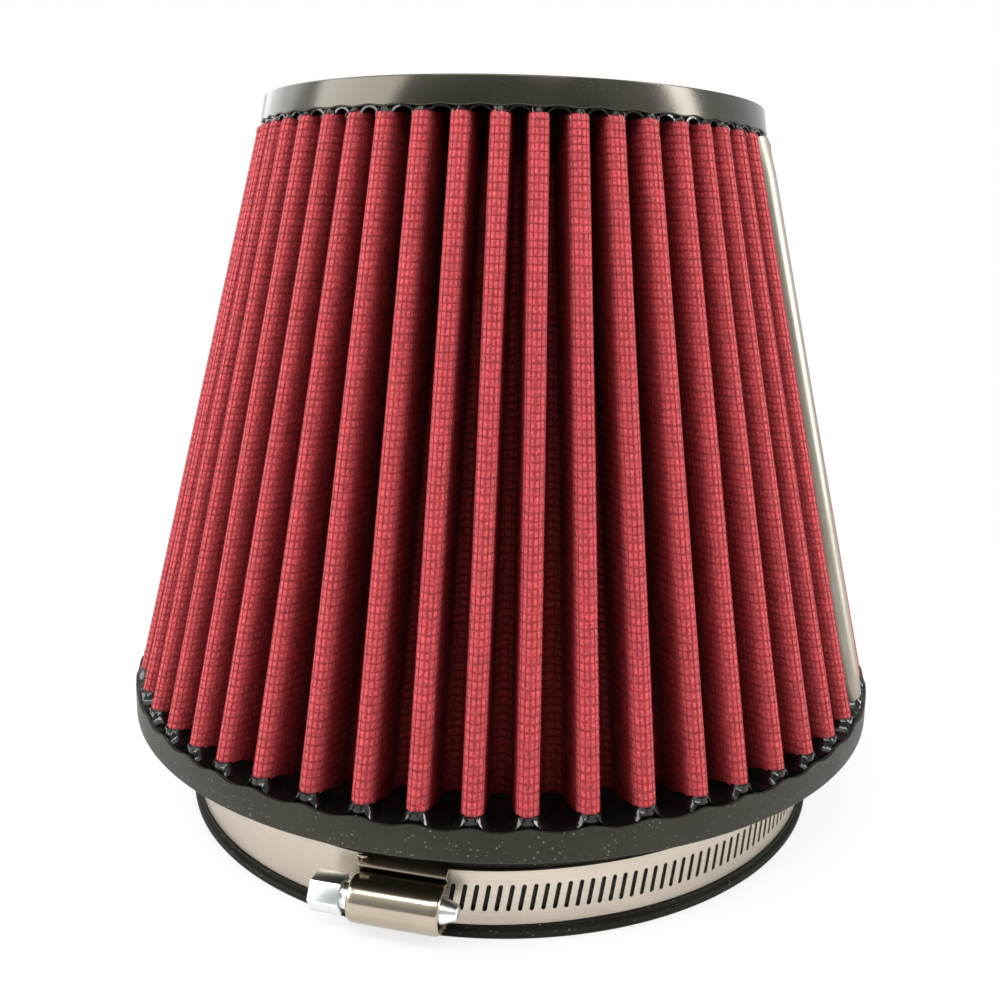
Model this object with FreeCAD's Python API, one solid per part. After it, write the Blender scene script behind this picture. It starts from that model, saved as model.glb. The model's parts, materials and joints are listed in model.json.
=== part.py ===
# Performance air filter: a clamp-on cone of pleated, oiled cotton gauze
import FreeCAD, Part
import math
import os

V = FreeCAD.Vector
UP = V(0, 0, 1)
AXIS_FOOT = V(0, 0, 0)

# Frame: origin on the axis at the lip's lower face, +Z up, front towards -Y.
# Angles are in degrees from the front, growing towards +X. Lengths are in millimetres.

# Clamp collar and end ring, moulded as one piece
bore_radius = 76.2
collar_wall = 3.8
collar_height = 25.4
lip_reach = 2.2
lip_height = 2.05
lip_round = 1.0
lip_upper_edge = 0.45
bore_chamfer = 0.8
ring_radius = 95.25
ring_thickness = 7.0
ring_lower_edge = 0.8
ring_upper_edge = 1.0

# Pleat pack
pleat_count = 51
first_crest_angle = 3.85
pleat_height = 134.0
crest_radius_base = 94.45
crest_radius_top = 62.95
pleat_depth = 13.0
valley_gap_top = 0.55
fold_inside_base = 0.4
fold_inside_top = 0.2
screen_thickness = 0.3
cotton_thickness = 1.2
layer_clearance = 0.02
crest_facets = 4
valley_facets = 3

# Crimped strip over the crest where the pack's two ends meet
seam_crest_number = 9
seam_thickness = 0.5
seam_leg = 4.0
seam_clearance = 0.05

# Top cap
cap_radius_lower = 62.35
cap_radius_upper = 61.35
cap_thickness = 6.9
cap_edge = 0.8

# Clamp band
band_width = 12.0
band_thickness = 0.65
band_clearance = 0.05
band_above_lip = 0.95
slot_count = 58
slot_pitch = 2.43
slot_length = 6.0
slot_width = 0.95
slot_lean = 9.4
first_slot_from_housing = 12.2
slots_in_housing = 7
plain_end_inside_housing = 1.5
tail_inside_housing = 0.6
ramp_angle = 24.0
ramp_steps = 6

# Clamp housing
housing_angle = -13.8
housing_length = 18.8
housing_wall = 0.8
band_side_clearance = 0.05
barrel_radius = 5.0
shoulder_above_band = 0.9
ear_length = 1.8
ear_width = 2.2
ear_thickness = 0.6
ear_lean = 24.0

# Worm screw
thread_radius = 3.9
thread_above_band = 0.35
running_clearance = 0.05
end_play = 0.2
neck_radius = 2.8
neck_showing = 2.0
head_across_flats = 7.0
head_length = 6.9
head_chamfer = 0.6
driver_slot_width = 1.2
driver_slot_depth = 1.6
tip_radius = 2.7
tip_end_radius = 1.4
tip_length = 3.4
tip_round = 0.6

# Values worked out from the sizes above
collar_radius = bore_radius + collar_wall
ring_top = collar_height + ring_thickness
pleat_top = ring_top + pleat_height
cap_top = pleat_top + cap_thickness
pack_thickness = 2 * screen_thickness + cotton_thickness + 2 * layer_clearance
half_pitch = math.pi / pleat_count
band_low = lip_height + band_above_lip
band_middle = band_low + band_width / 2
overlap_rise = band_thickness + band_clearance
outer_layer_face = collar_radius + overlap_rise + band_thickness
screw_axis_radius = outer_layer_face + thread_above_band + thread_radius


def polar(radius, degrees, z=0.0):
    """A point at an angle from the front."""
    angle = math.radians(degrees)
    return V(radius * math.sin(angle), -radius * math.cos(angle), z)


def revolve(points):
    """A solid of revolution about Z from a closed outline of (radius, z) points."""
    outline = [V(radius, 0, z) for radius, z in points]
    face = Part.Face(Part.makePolygon(outline + outline[:1]))
    return face.revolve(AXIS_FOOT, UP, 360)


def turned_to(shape, degrees):
    """The shape, built at the front, turned about Z to its angle."""
    turned = shape.copy()
    turned.rotate(AXIS_FOOT, UP, degrees)
    return turned


def along_x(radius, start, end, centre):
    """A cylinder along X between two places, about the centre's line."""
    return Part.makeCylinder(radius, end - start, V(start, centre.y, centre.z), V(1, 0, 0))


class PleatLevel:
    """The pleats' section at one height: crest and valley circles joined by flanks."""

    def __init__(self, z, crest_radius, fold_inside):
        self.z = z
        self.crest = pack_thickness + fold_inside
        self.crest_centre = crest_radius - self.crest
        self.valley_face = crest_radius - pleat_depth
        self.valley = 0.0

    def set_flank(self, lean):
        """Fix the valley so that flanks with this lean touch both circles."""
        reach = math.sin(half_pitch + lean)
        spare = self.valley_face * reach - self.crest - self.crest_centre * math.sin(lean)
        self.valley = spare / (1 - reach)


def flank_lean(level):
    """The flanks' lean from the radial line that leaves the named gap at the top."""
    centre = level.valley_face + valley_gap_top
    across = centre * math.sin(half_pitch)
    along = centre * math.cos(half_pitch) - level.crest_centre
    reach = level.crest + valley_gap_top
    return math.atan2(along, across) + math.acos(reach / math.hypot(across, along))


base_level = PleatLevel(ring_top, crest_radius_base, fold_inside_base)
top_level = PleatLevel(pleat_top, crest_radius_top, fold_inside_top)
lean = flank_lean(top_level)
base_level.set_flank(lean)
top_level.set_flank(lean)


def crest_point(level, offset, turn, number):
    """A point on a crest's circle, its normal turned from the radial line."""
    radius = level.crest - offset
    along = level.crest_centre + radius * math.cos(turn)
    across = radius * math.sin(turn)
    return pleat_point(level, along, across, number)


def valley_point(level, offset, turn, number):
    """A point on the circle of the valley that follows a crest."""
    centre = level.valley_face + level.valley
    radius = level.valley + offset
    along = centre * math.cos(half_pitch) - radius * math.cos(half_pitch + turn)
    across = centre * math.sin(half_pitch) - radius * math.sin(half_pitch + turn)
    return pleat_point(level, along, across, number)


def pleat_point(level, along, across, number):
    """A point given along and across a crest's radial line."""
    angle = first_crest_angle + math.degrees(2 * half_pitch * number)
    return polar(math.hypot(along, across), angle + math.degrees(math.atan2(across, along)), level.z)


def turns(limit, facets):
    """Evenly spaced turns of a fold's normal from one flank to the other."""
    return [limit * (2 * k / facets - 1) for k in range(facets + 1)]


def pleat_outline(level, offset):
    """All folds at one height, at a depth below the pack's outer face."""
    crest_turn = math.pi / 2 - lean
    valley_turn = math.pi / 2 - lean - half_pitch
    points = []
    for number in range(pleat_count):
        points += [crest_point(level, offset, t, number) for t in turns(crest_turn, crest_facets)]
        points += [valley_point(level, offset, -t, number) for t in turns(valley_turn, valley_facets)]
    return points


def closed_wire(points):
    return Part.makePolygon(points + points[:1])


def walls(low, high):
    """Flat faces between two closed outlines with the same number of points."""
    count = len(low)
    faces = []
    for k in range(count):
        n = (k + 1) % count
        faces.append(Part.Face(closed_wire([low[k], low[n], high[n], high[k]])))
    return faces


def solid_of(faces):
    """One solid from the faces that close it."""
    shell = Part.makeShell(faces)
    shell.sewShape()
    solid = Part.makeSolid(shell)
    if solid.Volume < 0:
        solid.reverse()
    return solid


def pleated_sheet(outer_offset, inner_offset):
    """One pleated layer of the pack between two depths."""
    low_out = pleat_outline(base_level, outer_offset)
    low_in = pleat_outline(base_level, inner_offset)
    high_out = pleat_outline(top_level, outer_offset)
    high_in = pleat_outline(top_level, inner_offset)
    faces = walls(low_out, high_out) + walls(low_in, high_in)
    for out, inside in ((low_out, low_in), (high_out, high_in)):
        plate = Part.Face(closed_wire(out)).cut(Part.Face(closed_wire(inside)))
        faces += plate.Faces
    return solid_of(faces)


def make_outer_screen():
    return pleated_sheet(0.0, screen_thickness)


def make_cotton_media():
    start = screen_thickness + layer_clearance
    return pleated_sheet(start, start + cotton_thickness)


def make_inner_screen():
    start = screen_thickness + cotton_thickness + 2 * layer_clearance
    return pleated_sheet(start, start + screen_thickness)


def seam_path(level, offset):
    """One face of the strip: down one flank, over the crest, down the other."""
    limit = math.pi / 2 - lean
    radius = level.crest - offset
    points = [crest_point(level, offset, t, seam_crest_number) for t in turns(limit, crest_facets)]
    ends = []
    for side in (-1, 1):
        along = level.crest_centre + radius * math.sin(lean) - seam_leg * math.cos(lean)
        across = side * (radius * math.cos(lean) + seam_leg * math.sin(lean))
        ends.append(pleat_point(level, along, across, seam_crest_number))
    return ends[:1] + points + ends[1:]


def make_seam_strip():
    """A folded metal strip that grips the crest where the pack's ends meet."""
    inside = -seam_clearance
    outside = -seam_clearance - seam_thickness
    rings = []
    for level in (base_level, top_level):
        rings.append(seam_path(level, outside) + seam_path(level, inside)[::-1])
    low, high = rings
    faces = walls(low, high)
    faces += [Part.Face(closed_wire(low)), Part.Face(closed_wire(high))]
    return solid_of(faces)


def make_base_flange():
    """Collar, lip and end ring, moulded in one piece of soft rubber."""
    lip_radius = collar_radius + lip_reach
    return revolve([
        (bore_radius + bore_chamfer, 0),
        (lip_radius - lip_round, 0),
        (lip_radius, lip_round),
        (lip_radius, lip_height - lip_upper_edge),
        (lip_radius - lip_upper_edge, lip_height),
        (collar_radius, lip_height),
        (collar_radius, collar_height),
        (ring_radius - ring_lower_edge, collar_height),
        (ring_radius, collar_height + ring_lower_edge),
        (ring_radius, ring_top - ring_upper_edge),
        (ring_radius - ring_upper_edge / 2, ring_top),
        (bore_radius, ring_top),
        (bore_radius, bore_chamfer),
    ])


def make_top_cap():
    """The closed cap that the pleats' upper ends are set in."""
    return revolve([
        (0, pleat_top),
        (cap_radius_lower, pleat_top),
        (cap_radius_upper, cap_top - cap_edge),
        (cap_radius_upper - cap_edge, cap_top),
        (0, cap_top),
    ])


def arc_edge(radius, start, end):
    """An arc about the axis between two angles."""
    middle = (start + end) / 2
    return Part.Arc(polar(radius, start), polar(radius, middle), polar(radius, end)).toShape()


def ramp_edge(radius, start, end):
    """A smooth rise by one layer, from the start angle to the end angle."""
    points = []
    for k in range(ramp_steps + 1):
        share = k / ramp_steps
        rise = overlap_rise * share * share * (3 - 2 * share)
        points.append(polar(radius + rise, start + (end - start) * share))
    curve = Part.BSplineCurve()
    start_way = polar(1, start - 90)
    end_way = polar(1, end - 90)
    curve.interpolate(Points=points, InitialTangent=start_way, FinalTangent=end_way)
    return curve.toShape()


def arc_degrees(length, radius):
    return math.degrees(length / radius)


def make_clamp_band():
    """One strip, once round the collar, its slotted end over its plain end."""
    half_housing = arc_degrees(housing_length / 2, collar_radius)
    plain_end = housing_angle + half_housing - arc_degrees(plain_end_inside_housing, collar_radius)
    tail_end = housing_angle - half_housing + arc_degrees(tail_inside_housing, collar_radius)
    ramp_end = plain_end + arc_degrees(band_clearance + band_thickness, collar_radius)
    ramp_start = ramp_end + ramp_angle
    faces = []
    for radius in (collar_radius, collar_radius + band_thickness):
        faces.append([
            arc_edge(radius, plain_end, ramp_start - 360),
            ramp_edge(radius, ramp_start, ramp_end),
            arc_edge(radius + overlap_rise, ramp_end, tail_end),
        ])
    inner, outer = faces
    plain_cut = Part.makeLine(polar(collar_radius, plain_end),
                              polar(collar_radius + band_thickness, plain_end))
    tail_radius = collar_radius + overlap_rise
    tail_cut = Part.makeLine(polar(tail_radius, tail_end),
                             polar(tail_radius + band_thickness, tail_end))
    edges = Part.sortEdges(inner + outer + [plain_cut, tail_cut])[0]
    strip = Part.Face(Part.Wire(edges)).extrude(UP * band_width)
    strip.translate(UP * band_low)
    return strip.cut(Part.makeCompound(band_slots(plain_end)))


def band_slots(plain_end):
    """Cutters for the leaning slots, from the tail round to the right."""
    first_angle = housing_angle + arc_degrees(first_slot_from_housing, outer_layer_face)
    step = arc_degrees(slot_pitch, outer_layer_face)
    cutters = []
    for number in range(-slots_in_housing, slot_count - slots_in_housing):
        angle = first_angle + number * step
        over_plain_end = angle < plain_end + step
        start = collar_radius + (overlap_rise - band_clearance / 2 if over_plain_end else -band_thickness)
        cutters.append(turned_to(slot_cutter(start), angle))
    return cutters


def slot_cutter(start):
    """A round-ended slot through the band at the front, from a radius outwards."""
    reach = outer_layer_face + band_thickness - start
    half = (slot_length - slot_width) / 2
    bar = Part.makeBox(slot_width, reach, 2 * half, V(-slot_width / 2, -start - reach, band_middle - half))
    for end in (-half, half):
        bar = bar.fuse(Part.makeCylinder(slot_width / 2, reach, V(0, -start, band_middle + end), V(0, -1, 0)))
    bar.rotate(V(0, 0, band_middle), V(0, 1, 0), slot_lean)
    return bar


def make_clamp_housing():
    """The formed barrel that holds the screw, its skirt straddling the band."""
    centre = V(0, -screw_axis_radius, band_middle)
    half = housing_length / 2
    shoulder = outer_layer_face + shoulder_above_band + housing_wall
    inner_half = band_width / 2 + band_side_clearance
    outer_half = inner_half + housing_wall
    barrel_inside = barrel_radius - housing_wall
    skirt_foot = collar_radius + band_clearance
    deep = skirt_foot - housing_length

    def skirt(half_width, top, half_length):
        corner = V(-half_length, -top, band_middle - half_width)
        return Part.makeBox(2 * half_length, top - deep, 2 * half_width, corner)

    body = along_x(barrel_radius, -half, half, centre).fuse(skirt(outer_half, shoulder, half))
    hollow_half = half - housing_wall
    body = body.cut(along_x(barrel_inside, -hollow_half, hollow_half, centre))
    body = body.cut(skirt(inner_half, shoulder - housing_wall, half + housing_wall))
    body = body.cut(along_x(neck_radius + running_clearance, -half, 0, centre))
    body = body.cut(along_x(tip_radius + running_clearance, 0, half, centre))
    body = body.cut(Part.makeCylinder(skirt_foot, cap_top))
    body = body.fuse(housing_ear(outer_half, shoulder))
    return turned_to(body.removeSplitter(), housing_angle)


def housing_ear(outer_half, shoulder):
    """The folded tab on the skirt's upper left corner."""
    left = -housing_length / 2
    foot = band_middle + outer_half - housing_wall
    tab = Part.makeBox(ear_width, ear_thickness, housing_wall + ear_length,
                       V(left, -shoulder, foot))
    tab.rotate(V(left, -shoulder, foot), V(1, 0, 0), ear_lean)
    return tab


def make_worm_screw():
    """Screw with a slotted hex head; its thread's envelope is a plain barrel."""
    centre = V(0, -screw_axis_radius, band_middle)
    half = housing_length / 2
    shoulder = half - housing_wall - end_play
    head_start = -half - neck_showing - head_length
    head_end = -half - neck_showing
    corner = head_across_flats / math.sqrt(3)
    outline = [V(head_start, corner * math.cos(math.radians(60 * k)), corner * math.sin(math.radians(60 * k)))
               for k in range(6)]
    head = Part.Face(closed_wire(outline)).extrude(V(head_length, 0, 0))
    dome = Part.makeCone(corner - head_chamfer, corner + head_length, head_length + head_chamfer,
                         V(head_start, 0, 0), V(1, 0, 0))
    head = head.common(dome)
    head.translate(V(0, centre.y, centre.z))
    slot = Part.makeBox(driver_slot_depth, 2 * head_across_flats, driver_slot_width,
                        V(head_start, centre.y - head_across_flats, centre.z - driver_slot_width / 2))
    screw = head.cut(slot)
    screw = screw.fuse(along_x(neck_radius, head_end, -shoulder, centre))
    screw = screw.fuse(along_x(thread_radius, -shoulder, shoulder, centre))
    screw = screw.fuse(along_x(tip_radius, shoulder, half, centre))
    screw = screw.fuse(screw_tip(centre, half))
    return turned_to(screw.removeSplitter(), housing_angle)


def screw_tip(centre, start):
    """The blunt cone past the housing's right end."""
    tip = Part.makeCone(tip_radius, tip_end_radius, tip_length, V(start, centre.y, centre.z), V(1, 0, 0))
    rim = [edge for edge in tip.Edges if abs(edge.CenterOfMass.x - start - tip_length) < tip_round / 10]
    return tip.makeFillet(tip_round, rim)


MAKERS = {
    "top_cap": make_top_cap,
    "base_flange": make_base_flange,
    "outer_screen": make_outer_screen,
    "cotton_media": make_cotton_media,
    "inner_screen": make_inner_screen,
    "seam_strip": make_seam_strip,
    "clamp_band": make_clamp_band,
    "clamp_housing": make_clamp_housing,
    "worm_screw": make_worm_screw,
}


def main():
    os.makedirs("parts", exist_ok=True)
    for name, maker in MAKERS.items():
        shape = maker()
        shape.exportStep("parts/" + name + ".step")
        solids = len(shape.Solids)
        print(name, "valid" if shape.isValid() else "NOT VALID", solids, round(shape.Volume, 1))


main()
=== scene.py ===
import json
import math
import random

import bpy
import numpy as np
from mathutils import Matrix, Vector


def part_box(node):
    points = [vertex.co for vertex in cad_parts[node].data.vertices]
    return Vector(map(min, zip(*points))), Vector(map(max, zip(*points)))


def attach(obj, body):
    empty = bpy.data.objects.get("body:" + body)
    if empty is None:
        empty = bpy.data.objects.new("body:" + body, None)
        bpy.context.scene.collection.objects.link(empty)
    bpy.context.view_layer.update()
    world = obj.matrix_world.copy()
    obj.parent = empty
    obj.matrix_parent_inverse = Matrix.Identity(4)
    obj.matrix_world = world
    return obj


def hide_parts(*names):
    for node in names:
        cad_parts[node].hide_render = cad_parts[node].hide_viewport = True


bl_info = {
    "name": "Cone air filter",
    "version": (1, 0, 0),
    "blender": (4, 5, 0),
    "location": "3D View > Sidebar > Filter",
    "description": "Dresses a clamp-on cone air filter: pleats, wire screens, rubber ends and band clamp",
    "category": "Object",
}

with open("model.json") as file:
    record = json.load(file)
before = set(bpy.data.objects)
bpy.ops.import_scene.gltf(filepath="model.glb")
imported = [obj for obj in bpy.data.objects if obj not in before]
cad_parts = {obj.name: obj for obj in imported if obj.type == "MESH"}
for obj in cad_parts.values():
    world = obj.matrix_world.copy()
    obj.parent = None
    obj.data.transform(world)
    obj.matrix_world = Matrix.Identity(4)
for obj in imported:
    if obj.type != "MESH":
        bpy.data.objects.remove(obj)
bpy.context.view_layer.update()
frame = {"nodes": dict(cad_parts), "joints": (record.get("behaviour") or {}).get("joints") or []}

MM = 0.001
FULL_TURN = 2 * math.pi
FILTER = "filter"
SCREW = "screw"
PLEAT_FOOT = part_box("cotton_media")[0].z
PLEAT_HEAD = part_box("cotton_media")[1].z
CAP_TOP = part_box("top_cap")[1].z
RING_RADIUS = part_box("base_flange")[1].x
SCREW_JOINT = frame["joints"][0]

# Degrees by which the crests in view stand off their even places, from the left to the right
FIRST_SEEN_CREST = -10
SEEN_STRAYS_FOOT = (1.2, 1.2, 1.2, 1.0, 0.0, -0.15, 0.25, 0.4, 0.25, -0.2,
                    -0.75, -0.35, -0.3, 0.1, -0.6, -0.8, -1.2, -1.4, -1.2, 0.4,
                    0.2, 0.0, 0.0)
SEEN_STRAYS_HEAD = (0.8, 0.0, -0.6, -0.55, -0.2, -0.55, -0.85, -0.25, 0.2, 0.5,
                    0.55, 1.1, 1.1, 1.35, 1.55, 1.0, -0.25, -1.0, -1.0, 3.0,
                    2.4, 1.6, 0.8)


# Sizes and colours that a user would change


def length(name, description, millimetres):
    """A length property, written in millimetres."""
    return bpy.props.FloatProperty(
        name=name, description=description, default=millimetres * MM, unit="LENGTH", precision=5)


def angle(name, description, degrees):
    """An angle property, written in degrees."""
    return bpy.props.FloatProperty(
        name=name, description=description, default=math.radians(degrees), subtype="ANGLE")


def colour(name, description, value):
    """A linear colour property."""
    return bpy.props.FloatVectorProperty(
        name=name, description=description, default=value, subtype="COLOR", size=3, min=0.0, max=1.0)


def whole(name, description, value):
    """A count property."""
    return bpy.props.IntProperty(name=name, description=description, default=value)


class FilterPleats(bpy.types.PropertyGroup):
    """The pleat pack, as the solids hold it."""
    count: whole("Pleats", "Folds once round the cone", 51)
    first_crest: angle("First crest", "Angle of crest 0 from the front, towards the right", 3.85)
    crest_foot: length("Crest radius, foot", "Radius of the crests at the pleats' feet", 94.45)
    crest_head: length("Crest radius, head", "Radius of the crests at the pleats' heads", 62.95)
    depth: length("Depth", "From crest to valley", 13.0)
    fold_foot: length("Fold radius, foot", "Outside radius of a crest at its foot", 2.24)
    fold_head: length("Fold radius, head", "Outside radius of a crest at its head", 2.04)
    gap_head: length("Valley radius, head", "Outside radius of a valley at its head", 0.55)
    cotton_below: length("Cotton below the wires", "From the pack's outer face to the cotton", 0.14)
    cotton_thick: length("Cotton", "Thickness of the gauze", 1.2)
    set_in: length("Set in", "How far the pleats reach into the rubber at each end", 2.4)
    uneven: angle("Unevenness", "How far a crest strays from its even place", 0.32)
    seam_crest: whole("Seam crest", "Number of the crest that the metal strip covers", 9)
    seed: whole("Seed", "Start of the random draws", 7)


class FilterScreens(bpy.types.PropertyGroup):
    """The woven wire screens on both faces of the cotton."""
    wire: length("Wire", "Radius of a wire", 0.085)
    upright_pitch: length("Upright pitch", "Between upright wires, along the folds", 1.13)
    level_pitch: length("Level pitch", "Between level wires, up the cone", 1.56)
    inner_wire: length("Inner wire", "Radius of a wire of the inner screen", 0.14)
    inner_upright_pitch: length("Inner upright pitch", "Between upright wires inside", 1.9)
    inner_level_pitch: length("Inner level pitch", "Between level wires inside", 2.9)


class FilterRubber(bpy.types.PropertyGroup):
    """The moulded ends."""
    pool_foot: length("Pool, foot", "Height of the glossy rubber between the pleats' feet", 31.4)
    climb_crest: length("Climb at a crest", "How far the rubber climbs a crest's foot", 2.9)
    climb_valley: length("Climb in a valley", "How far the rubber climbs a valley", 0.7)
    climb_reach: length("Climb reach", "How fast the climb dies away", 0.75)
    pool_head: length("Pool, head", "How far the rubber between the pleats' heads stands above them", 0.9)
    ragged: length("Ragged edge", "How far the climbed rubber's edge strays", 0.5)
    scallop_foot: length("Scallops, foot", "Height of the waves on the ring's upper edge", 1.1)
    scallop_head: length("Scallops, head", "Height of the waves on the cap's lower edge", 0.4)


class FilterFinish(bpy.types.PropertyGroup):
    """Colours of the finishes."""
    cotton: colour("Cotton", "Oiled cotton gauze", (0.405, 0.054, 0.062))
    wire: colour("Wire", "Coated wire of the screens", (0.32, 0.026, 0.035))
    rubber: colour("Rubber", "Matt moulded rubber", (0.013, 0.012, 0.0095))
    potting: colour("Set rubber", "Glossy rubber round the pleats' ends", (0.0025, 0.0025, 0.0022))
    band: colour("Band", "Satin stainless strip", (0.52, 0.46, 0.39))
    housing: colour("Housing", "Polished stainless pressing", (0.37, 0.32, 0.25))
    screw: colour("Screw", "Bright zinc plating", (0.74, 0.78, 0.77))
    seam: colour("Seam strip", "Plain folded metal", (0.3, 0.275, 0.23))
    fibre: colour("Fibres", "Loose cotton ends", (0.50, 0.33, 0.31))


def tint(context, name):
    """One of the finishes' colours."""
    return tuple(getattr(context.scene.filter_finish, name))


# Modelling helpers

WELD = 0.002 * MM


def alone(obj):
    """Select one object and make it active."""
    bpy.ops.object.select_all(action="DESELECT")
    obj.select_set(True)
    bpy.context.view_layer.objects.active = obj


def started(name):
    """Name the primitive that was just added, at the origin."""
    obj = bpy.context.active_object
    obj.name = name
    obj.data.name = name
    return obj


def add_grid(name, columns, rows):
    """A flat grid as the start of a sheet."""
    bpy.ops.object.select_all(action="DESELECT")
    bpy.ops.mesh.primitive_grid_add(x_subdivisions=columns, y_subdivisions=rows, size=1, calc_uvs=True)
    return started(name)


def shape_grid(obj, columns, rows, place):
    """Move each grid point to place(column, row)."""
    for vertex in obj.data.vertices:
        column = round((vertex.co.x + 0.5) * columns)
        row = round((vertex.co.y + 0.5) * rows)
        vertex.co = place(column, row)


def lay_uv(obj, runs, rises):
    """Lay a flat grid's U along the fold and V up it, to keep patterns to size; before it is shaped."""
    layer = obj.data.uv_layers.active.data
    for loop in obj.data.loops:
        place = obj.data.vertices[loop.vertex_index].co
        column = round((place.x + 0.5) * (len(runs) - 1))
        row = round((place.y + 0.5) * (len(rises) - 1))
        layer[loop.index].uv = (runs[column], rises[row])


def lay_depth(obj, columns, depths):
    """Keep each column's depth in the fold with a flat grid; before it is shaped."""
    layer = obj.data.attributes.new("depth", "FLOAT", "POINT")
    for vertex in obj.data.vertices:
        layer.data[vertex.index].value = depths[round((vertex.co.x + 0.5) * columns)]


def add_outline(name, points):
    """A closed loop of (radius, z) points as the start of a turned piece."""
    bpy.ops.object.select_all(action="DESELECT")
    bpy.ops.mesh.primitive_circle_add(vertices=len(points), radius=1)
    obj = started(name)
    for vertex, (radius, z) in zip(obj.data.vertices, points):
        vertex.co = (radius, 0, z)
    return obj


def copied_round(obj, count):
    """Copy all of a mesh round the axis and weld the copies where they meet."""
    alone(obj)
    bpy.ops.object.mode_set(mode="EDIT")
    bpy.ops.mesh.select_all(action="SELECT")
    bpy.ops.mesh.spin(steps=count - 1, dupli=True, angle=FULL_TURN * (count - 1) / count,
                      center=(0, 0, 0), axis=(0, 0, 1))
    bpy.ops.mesh.select_all(action="SELECT")
    bpy.ops.mesh.remove_doubles(threshold=WELD)
    bpy.ops.object.mode_set(mode="OBJECT")


def turned(obj, steps):
    """Spin an outline once round the axis into a closed solid."""
    alone(obj)
    bpy.ops.object.mode_set(mode="EDIT")
    bpy.ops.mesh.select_all(action="SELECT")
    bpy.ops.mesh.spin(steps=steps, angle=FULL_TURN, center=(0, 0, 0), axis=(0, 0, 1))
    bpy.ops.mesh.select_all(action="SELECT")
    bpy.ops.mesh.remove_doubles(threshold=WELD)
    bpy.ops.mesh.dissolve_degenerate(threshold=WELD)
    bpy.ops.object.mode_set(mode="OBJECT")
    face_outwards(obj)


def face_outwards(obj):
    """Make all faces of a closed mesh point out."""
    alone(obj)
    bpy.ops.object.mode_set(mode="EDIT")
    bpy.ops.mesh.select_all(action="SELECT")
    bpy.ops.mesh.normals_make_consistent(inside=False)
    bpy.ops.object.mode_set(mode="OBJECT")


def face_way(obj, measure):
    """Turn an open sheet so that it faces the way that measure(polygon) gives as above 0."""
    face_outwards(obj)
    if sum(measure(polygon) for polygon in obj.data.polygons) < 0:
        obj.data.flip_normals()


def modified(obj, kind, **settings):
    """Add one modifier and apply it."""
    alone(obj)
    modifier = obj.modifiers.new(kind.title(), kind)
    for key, value in settings.items():
        setattr(modifier, key, value)
    bpy.ops.object.modifier_apply(modifier=modifier.name)


def smoothed(obj, degrees=40):
    """Smooth shading except at sharp edges."""
    alone(obj)
    bpy.ops.object.shade_smooth_by_angle(angle=math.radians(degrees))


def joined(parts, name):
    """Join objects into the first one."""
    bpy.ops.object.select_all(action="DESELECT")
    for part in parts:
        part.select_set(True)
    bpy.context.view_layer.objects.active = parts[0]
    bpy.ops.object.join()
    return started(name)


def dressed(obj, material, body, slot, *nodes):
    """Give a finished piece its material and its body, and hide the solids that it stands for."""
    obj.data.materials.clear()
    obj.data.materials.append(material)
    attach(obj, body)
    if nodes:
        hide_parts(*nodes)


def rounded(corners, steps=4):
    """An outline from (radius, z, rounding) corners, each rounding an arc of that radius."""
    points = []
    count = len(corners)
    for k, (radius, z, rounding) in enumerate(corners):
        here = Vector((radius, z))
        before = (Vector(corners[k - 1][:2]) - here).normalized()
        after = (Vector(corners[(k + 1) % count][:2]) - here).normalized()
        if rounding == 0:
            points.append(here)
            continue
        half = before.angle(after) / 2
        centre = here + (before + after).normalized() * rounding / math.sin(half)
        first = here + before * rounding / math.tan(half) - centre
        last = here + after * rounding / math.tan(half) - centre
        for step in range(steps + 1):
            points.append(centre + first.slerp(last, step / steps).normalized() * rounding)
    return [(point.x * MM, point.y * MM) for point in points]


def strands(name, paths, outward, radius, closed, sides=3, depth=None):
    """Wires or fibres of one mesh, along an array of paths with their outward directions."""
    count, points, _ = paths.shape
    if closed:
        along = np.roll(paths, -1, axis=1) - np.roll(paths, 1, axis=1)
    else:
        along = np.gradient(paths, axis=1)
    across = np.cross(along, outward)
    across /= np.linalg.norm(across, axis=2, keepdims=True)
    upright = np.cross(across, along)
    upright /= np.linalg.norm(upright, axis=2, keepdims=True)
    rings = []
    for side in range(sides):
        turn = FULL_TURN * side / sides
        rings.append(paths + radius * (math.cos(turn) * upright + math.sin(turn) * across))
    verts = np.stack(rings, axis=2).reshape(-1, 3)
    index = np.arange(count * points * sides).reshape(count, points, sides)
    following = np.roll(index, -1, axis=1) if closed else index[:, 1:]
    current = index if closed else index[:, :-1]
    beside = np.roll(current, -1, axis=2)
    far = np.roll(following, -1, axis=2)
    quads = np.stack([current, following, far, beside], axis=-1).reshape(-1, 4)
    faces = quads.tolist()
    if not closed:
        faces += index[:, 0, :].tolist()
        faces += index[:, -1, ::-1].tolist()
    mesh = bpy.data.meshes.new(name)
    mesh.from_pydata(verts.tolist(), [], faces)
    if depth is not None:
        layer = mesh.attributes.new("depth", "FLOAT", "POINT")
        layer.data.foreach_set("value", np.repeat(depth.ravel(), sides))
    obj = bpy.data.objects.new(name, mesh)
    bpy.context.collection.objects.link(obj)
    face_outwards(obj)
    alone(obj)
    bpy.ops.object.shade_smooth()
    return obj


# The folds' surface

def soft_step(low, high, value):
    """From 0 at low to 1 at high, starting and ending gently."""
    part = min(1.0, max(0.0, (value - low) / (high - low)))
    return part * part * (3 - 2 * part)


# Where the rubber draws the folds' ends in: over what height each way, in how many rows, and how far
DRAW_BEYOND = 0.9 * MM
DRAW_ROWS = 3
DRAW_FOOT = 0.9 * MM
DRAW_HEAD = 1.0 * MM


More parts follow.
